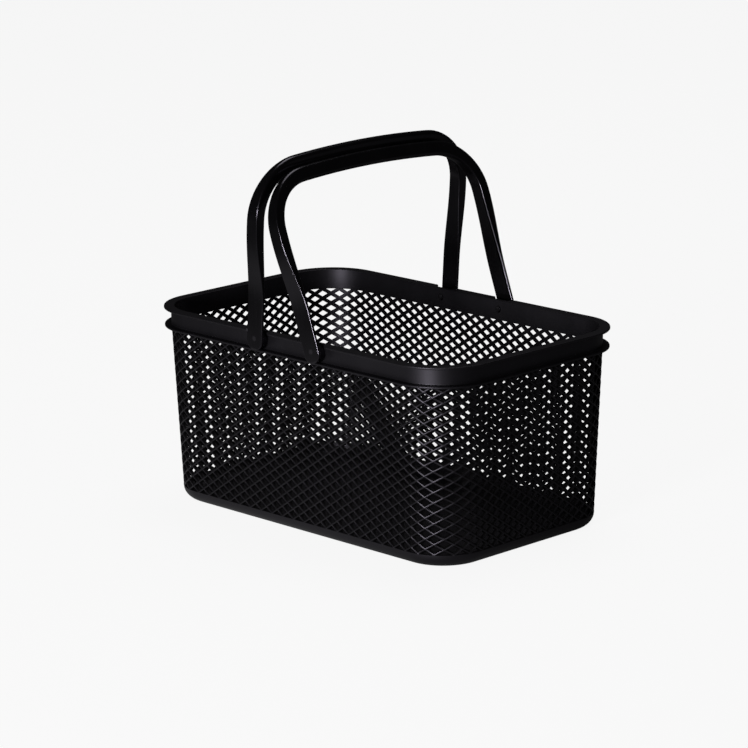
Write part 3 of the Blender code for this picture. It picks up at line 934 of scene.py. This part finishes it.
@dataclass(frozen=True)
class CarryHandle:
    """A strap, wide and thin at the hinges, narrow and deep at the grip, with a pin at each end."""

    side: HandleSide
    form: TubForm
    hinges: Hinges
    grip_height: float = 0.1289
    leg_inside: float = 0.0945
    leg_thickness: float = 0.0022
    shoulder_spread: float = 0.0056
    shoulder_radius: float = 0.0408
    crown_angle: float = math.radians(4.5)
    knee_start: float = 0.028
    knee_length: float = 0.052
    end_drop: float = 0.0064
    end_offset: float = 0.35
    leg_width: float = 0.015
    shoulder_width: float = 0.0104
    grip_width: float = 0.006
    shoulder_thickness: float = 0.0074
    grip_thickness: float = 0.0108
    leg_edge: float = 0.0009
    grip_edge: float = 0.0027
    edge_limit: float = 2.2
    left_lean: float = math.radians(4.2)
    touch_gap: float = 0.0003
    pin_round: float = 0.0005
    pin_round_share: float = 0.3
    sink_rise: float = 0.9
    end_stations: int = 9
    leg_stations: int = 16
    shoulder_stations: int = 16
    crown_stations: int = 6
    edge_steps: int = 4
    pin_steps: int = 32

    @property
    def name(self) -> str:
        """The handle's name."""
        return f"{self.side.name.lower()}_handle"

    @property
    def outside(self) -> float:
        """How far a leg's outer face is from the middle plane."""
        return self.leg_inside + self.leg_thickness

    @property
    def lean(self) -> float:
        """The handle's turn about +Y at rest in radians, at which the two grips meet."""
        if self.side is HandleSide.LEFT:
            return self.left_lean
        half, edge = self.grip_width / 2, self.grip_edge
        level = self.hinges.spacing * math.cos(self.left_lean) - half - edge - self.touch_gap
        corner = math.hypot(half - edge, self.grip_height - edge)
        turn = math.atan2(half - edge, self.grip_height - edge)
        return self.left_lean + turn - math.asin(level / corner)

    def stations(self) -> list[Station]:
        """Trace the strap from a leg's end to the middle of the grip.

        Returns:
            The run along the strap from the pivot, the outer face's distance from the middle plane,
            its height over the pivot, and the angle of its outward direction above level.
        """
        shoulder_reach = self.outside + self.shoulder_spread
        crown_reach = shoulder_reach - self.shoulder_radius * (1 - math.sin(self.crown_angle))
        crown_rise = crown_reach * math.tan(self.crown_angle) / 2
        centre_reach = shoulder_reach - self.shoulder_radius
        centre_height = (
            self.grip_height - crown_rise - self.shoulder_radius * math.cos(self.crown_angle)
        )
        places = []
        for step in range(self.end_stations):
            angle = QUARTER * (step + self.end_offset) / (self.end_stations + self.end_offset)
            places.append((self.outside, -self.end_drop * math.cos(angle), 0.0))
        for step in range(self.leg_stations + 1):
            height = centre_height * step / self.leg_stations
            share = unit((height - self.knee_start) / self.knee_length)
            slope = self.shoulder_spread / self.knee_length * 6 * share * (1 - share)
            knee = smooth_step(height, self.knee_start, self.knee_length)
            places.append((self.outside + self.shoulder_spread * knee, height, -math.atan(slope)))
        for step in range(1, self.shoulder_stations + 1):
            angle = (QUARTER - self.crown_angle) * step / self.shoulder_stations
            reach = centre_reach + self.shoulder_radius * math.cos(angle)
            places.append((reach, centre_height + self.shoulder_radius * math.sin(angle), angle))
        for step in range(1, self.crown_stations + 1):
            share = 1 - step / self.crown_stations
            height = self.grip_height - crown_rise * share * share
            angle = QUARTER - math.atan(math.tan(self.crown_angle) * share)
            places.append((crown_reach * share, height, angle))
        run = -self.end_drop
        before = (self.outside, run)
        found = []
        for reach, height, angle in places:
            run += math.hypot(reach - before[0], height - before[1])
            found.append((run, reach, height, angle))
            before = (reach, height)
        return found

    def size(self, run: float) -> Point:
        """The strap's section.

        Args:
            run: The run along the strap from the pivot.

        Returns:
            Its width, its thickness and the rounding of its edges.
        """
        up_leg = smooth_step(run, self.knee_start, self.knee_length)
        over = smooth_step(run, self.knee_start + self.knee_length, self.shoulder_radius * QUARTER)
        width = self.leg_width + (self.shoulder_width - self.leg_width) * up_leg
        width += (self.grip_width - self.shoulder_width) * over
        thickness = self.leg_thickness + (self.shoulder_thickness - self.leg_thickness) * up_leg
        thickness += (self.grip_thickness - self.shoulder_thickness) * over
        edge = self.leg_edge + (self.grip_edge - self.leg_edge) * over
        if run < 0:
            width *= math.sqrt(1 - (run / self.end_drop) ** 2)
        return width, thickness, edge

    def section(self, bm: BMesh, station: Station, leg: Leg) -> list[BMEdge]:
        """Draw one section of the strap: a rounded rectangle set across it.

        Args:
            bm: The mesh to add it to.
            station: The place on the strap.
            leg: The leg's side.

        Returns:
            The section's edges.
        """
        run, reach, height, angle = station
        width, thickness, edge = self.size(run)
        end = run + self.end_drop
        squeeze = edge - math.sqrt(edge * edge - (edge - end) ** 2) if end < edge else 0.0
        corner = min(edge, width / self.edge_limit, thickness / self.edge_limit - squeeze)
        verts = bmesh.ops.create_grid(bm, x_segments=1, y_segments=1, size=0.5)["verts"]
        bmesh.ops.scale(bm, vec=(width, thickness - 2 * squeeze, 1), verts=verts)
        rounded = bmesh.ops.bevel(
            bm, geom=verts, offset=corner, offset_type="OFFSET", affect="VERTICES",
            segments=self.edge_steps, profile=0.5, material=-1,
        )
        face = rounded["verts"][0].link_faces[0]
        edges, points = list(face.edges), list(face.verts)
        side, out, up = leg.value, math.cos(angle), math.sin(angle)
        across = Matrix(((1, 0, 0), (0, side * out, 0), (0, up, 1))).to_4x4()
        inward = thickness / 2
        middle = Vector((0, side * (reach - inward * out), height - inward * up))
        bmesh.ops.transform(bm, matrix=Matrix.Translation(middle) @ across, verts=points)
        bmesh.ops.delete(bm, geom=[face], context="FACES_ONLY")
        return edges

    def strap(self) -> BMesh:
        """Make the strap, upright over its pivot axis.

        Returns:
            The closed strap.
        """
        bm = bmesh.new()
        half = self.stations()
        places = [(station, Leg.FRONT) for station in half]
        places += [(station, Leg.BACK) for station in reversed(half[:-1])]
        loops = [self.section(bm, station, leg) for station, leg in places]
        for first, second in zip(loops, loops[1:]):
            bmesh.ops.bridge_loops(bm, edges=first + second)
        for loop in (loops[0], loops[-1]):
            bmesh.ops.contextual_create(bm, geom=loop)
        Piece.close(bm)
        return bm

    def pin(self, leg: Leg) -> BMesh:
        """Make the boss and stub pin of one leg, turned about the pivot axis.

        Args:
            leg: The leg.

        Returns:
            The closed boss and pin.
        """
        root = self.leg_inside + self.leg_thickness / 2
        band = self.form.half_width + self.touch_gap
        tip = self.form.half_width - self.form.wall - self.hinges.pin_stand_out
        boss, pin = self.hinges.boss_radius, self.hinges.pin_radius
        rounding, bevel = self.pin_round, self.pin_round * self.pin_round_share
        profile = [
            (0.0, root),
            (boss, root),
            (boss, band),
            (pin, band),
            (pin, tip + rounding),
            (pin - bevel, tip + bevel),
            (pin - rounding, tip),
            (0.0, tip),
        ]
        bm = bmesh.new()
        verts = [bm.verts.new((radius, leg.value * reach, 0)) for radius, reach in profile]
        edges = [bm.edges.new(pair) for pair in zip(verts, verts[1:])]
        bmesh.ops.spin(
            bm, geom=verts + edges, cent=(0, 0, 0), axis=(0, 1, 0), dvec=(0, 0, 0),
            angle=4 * QUARTER, steps=self.pin_steps, use_merge=True, use_normal_flip=False,
            use_duplicate=False,
        )
        Piece.close(bm)
        return bm

    def build(self, finish: MouldedPlastic) -> Object:
        """Make the handle, leaning as it rests.

        Args:
            finish: Its plastic.

        Returns:
            The finished piece.
        """
        bm = self.strap()
        part = bpy.data.meshes.new("pin")
        for leg in Leg:
            pin = self.pin(leg)
            pin.to_mesh(part)
            pin.free()
            bm.from_mesh(part)
        bpy.data.meshes.remove(part)
        pivot_x, pivot_z = self.side.value * self.hinges.spacing / 2, self.hinges.height
        turn = Matrix.Rotation(self.lean, 4, "Y")
        place = Matrix.Translation((pivot_x, 0, pivot_z)) @ turn
        bmesh.ops.transform(bm, matrix=place, verts=bm.verts[:])
        obj = Piece.as_object(f"moulded_{self.name}", bm)
        # The painted highlight over each pin is centred a little above the pivot, on the leg's
        # middle plane.
        rise = self.hinges.pin_radius * self.sink_rise
        sink_highlight = (pivot_x + rise * math.sin(self.lean), 0.0, pivot_z + rise * math.cos(self.lean))
        body = f"{self.side.name.lower()}_carry_handle"
        Piece.dress(obj, finish.material([sink_highlight]), body, "handle_plastic", sharp=40)
        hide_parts(self.name)
        return obj


@dataclass(frozen=True)
class SoftBox:
    """A large soft lamp that faces the basket."""

    name: str
    azimuth: float
    elevation: float
    distance: float
    width: float
    height: float
    power: float
    aim: Point = (0.0, 0.0, 0.13)

    def build(self) -> Object:
        """Make the lamp.

        Returns:
            The lamp.
        """
        lamp = bpy.data.lights.new(self.name, "AREA")
        lamp.shape = "RECTANGLE"
        lamp.size, lamp.size_y = self.width, self.height
        lamp.energy = self.power
        obj = in_scene(self.name, lamp)
        away = direction(math.radians(self.azimuth), math.radians(self.elevation))
        turn = away.to_track_quat("Z", "Y").to_matrix().to_4x4()
        obj.matrix_world = Matrix.Translation(Vector(self.aim) + away * self.distance) @ turn
        return obj


@dataclass(frozen=True)
class ViewingAngle:
    """The photograph's camera: its direction, and how far its axis passes beside the origin."""

    azimuth: float = 45.594
    elevation: float = 14.151
    roll: float = -0.746
    focal_pixels: float = 3457.7
    distance: float = 2.4473
    beside: float = -0.00834
    above: float = 0.09523

    def build(self) -> Object:
        """Make the camera.

        Returns:
            The camera.
        """
        angles = (self.azimuth, self.elevation, self.roll)
        azimuth, elevation, roll = (math.radians(angle) for angle in angles)
        back = direction(azimuth, elevation)
        level = Vector((math.cos(azimuth), math.sin(azimuth), 0))
        upright = back.cross(level)
        right = level * math.cos(roll) + upright * math.sin(roll)
        up = upright * math.cos(roll) - level * math.sin(roll)
        data = bpy.data.cameras.new("photograph_camera")
        data.sensor_width = SENSOR_WIDTH_MM
        data.lens = self.focal_pixels * SENSOR_WIDTH_MM / IMAGE_PIXELS
        data.clip_start, data.clip_end = CLIP_START, CLIP_END
        obj = in_scene("photograph_camera", data)
        place = Matrix.Translation(back * self.distance + right * self.beside + up * self.above)
        obj.matrix_world = place @ Matrix((right, up, back)).transposed().to_4x4()
        bpy.context.scene.camera = obj
        return obj


@dataclass(frozen=True)
class Studio:
    """The pale floor with a painted pool of light that shows only in reflections, the soft lamps
    and the white background.
    """

    floor_half: float = 12.0
    floor_grey: float = 0.12
    floor_pale: float = 0.95
    floor_roughness: float = 0.9
    floor_specular: float = 0.1
    white_share: float = 0.9
    mirrored_backdrop: float = 0.015
    mirrored_floor: float = 0.01
    # The painted pool of light that glossy rays see on the floor: its share of white, its middle
    # and its radius.
    painted_sheen_share: float = 0.3
    painted_sheen_spot: Point = (-0.12, -0.24, 0.0)
    painted_sheen_radius: float = 0.42
    fill: float = 0.15
    lamps: tuple[SoftBox, ...] = (
        SoftBox("key_softbox", 16.0, 5.0, 2.4, 0.6, 0.3, 46.0),
        SoftBox("top_softbox", 200.0, 74.0, 2.0, 1.0, 1.0, 8.0),
    )

    @staticmethod
    def seen_white(graph: Graph, mirrored: "Value | float") -> Value:
        """How white a ray finds the surroundings, which a gloss shows only in part."""
        seen = graph.path("Camera").larger(graph.path("Transmission"))
        return seen.larger(graph.path("Glossy") * mirrored)

    def floor(self) -> Object:
        """Make the floor: near white where it is seen, with a trace of the basket's shadow, and a
        painted pool of light in front that glossy rays see brighter.

        Returns:
            The floor.
        """
        bm = bmesh.new()
        bmesh.ops.create_grid(bm, x_segments=1, y_segments=1, size=self.floor_half)
        obj = Piece.as_object("studio_floor", bm)
        material = bpy.data.materials.new("pale_floor")
        graph = Graph(material)
        pale = graph.path("Camera") * (self.floor_pale - self.floor_grey) + self.floor_grey
        lit = graph.value("ShaderNodeBsdfPrincipled", None, {
            "Base Color": pale,
            "Roughness": self.floor_roughness,
            "Specular IOR Level": self.floor_specular,
        })
        white = graph.value("ShaderNodeEmission", None, {"Color": WHITE, "Strength": 1.0})
        # Painted light: a round pool on the floor in front of the basket that only glossy rays see
        # brighter, painted to give the front band its sheen.
        place, level = graph.object_place(), (1.0, 1.0, 0.0)
        painted_sheen_pool = graph.nearness(place, self.painted_sheen_spot, level, self.painted_sheen_radius)
        mirrored = painted_sheen_pool * (self.painted_sheen_share - self.mirrored_floor) + self.mirrored_floor
        graph.surface(self.seen_white(graph, mirrored) * self.white_share, lit, white)
        obj.data.materials.append(material)
        return obj

    def world(self) -> None:
        """Make the world white where it is seen, and a soft fill elsewhere."""
        world = bpy.data.worlds.new("studio_world")
        graph = Graph(world)
        seen = self.seen_white(graph, self.mirrored_backdrop)
        strength = seen.larger((1 - graph.path("Glossy")) * self.fill)
        inputs = {"Color": WHITE, "Strength": strength}
        back = graph.value("ShaderNodeBackground", None, inputs)
        graph.node("ShaderNodeOutputWorld", None, {0: back})
        bpy.context.scene.world = world

    def build(self) -> None:
        """Make the studio."""
        self.floor()
        self.world()
        for lamp in self.lamps:
            lamp.build()
        ViewingAngle().build()
        bpy.context.scene.view_settings.view_transform = "Standard"


def main() -> None:
    """Load the frame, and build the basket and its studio."""
    logging.basicConfig(level=logging.INFO, format="%(name)s: %(message)s")
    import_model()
    form, hinges = TubForm(), Hinges()
    tub = TUB_PLASTIC.material()
    for assembly, finish in (
        (RimBand(form, hinges), tub),
        (DiamondMesh(form), tub),
        (BaseTray(form), tub),
        (CarryHandle(HandleSide.LEFT, form, hinges), HANDLE_PLASTIC),
        (CarryHandle(HandleSide.RIGHT, form, hinges), HANDLE_PLASTIC),
    ):
        piece = assembly.build(finish)
        LOG.info("%s: %d faces", piece.name, len(piece.data.polygons))
    Studio().build()


if __name__ == "__main__":
    main()
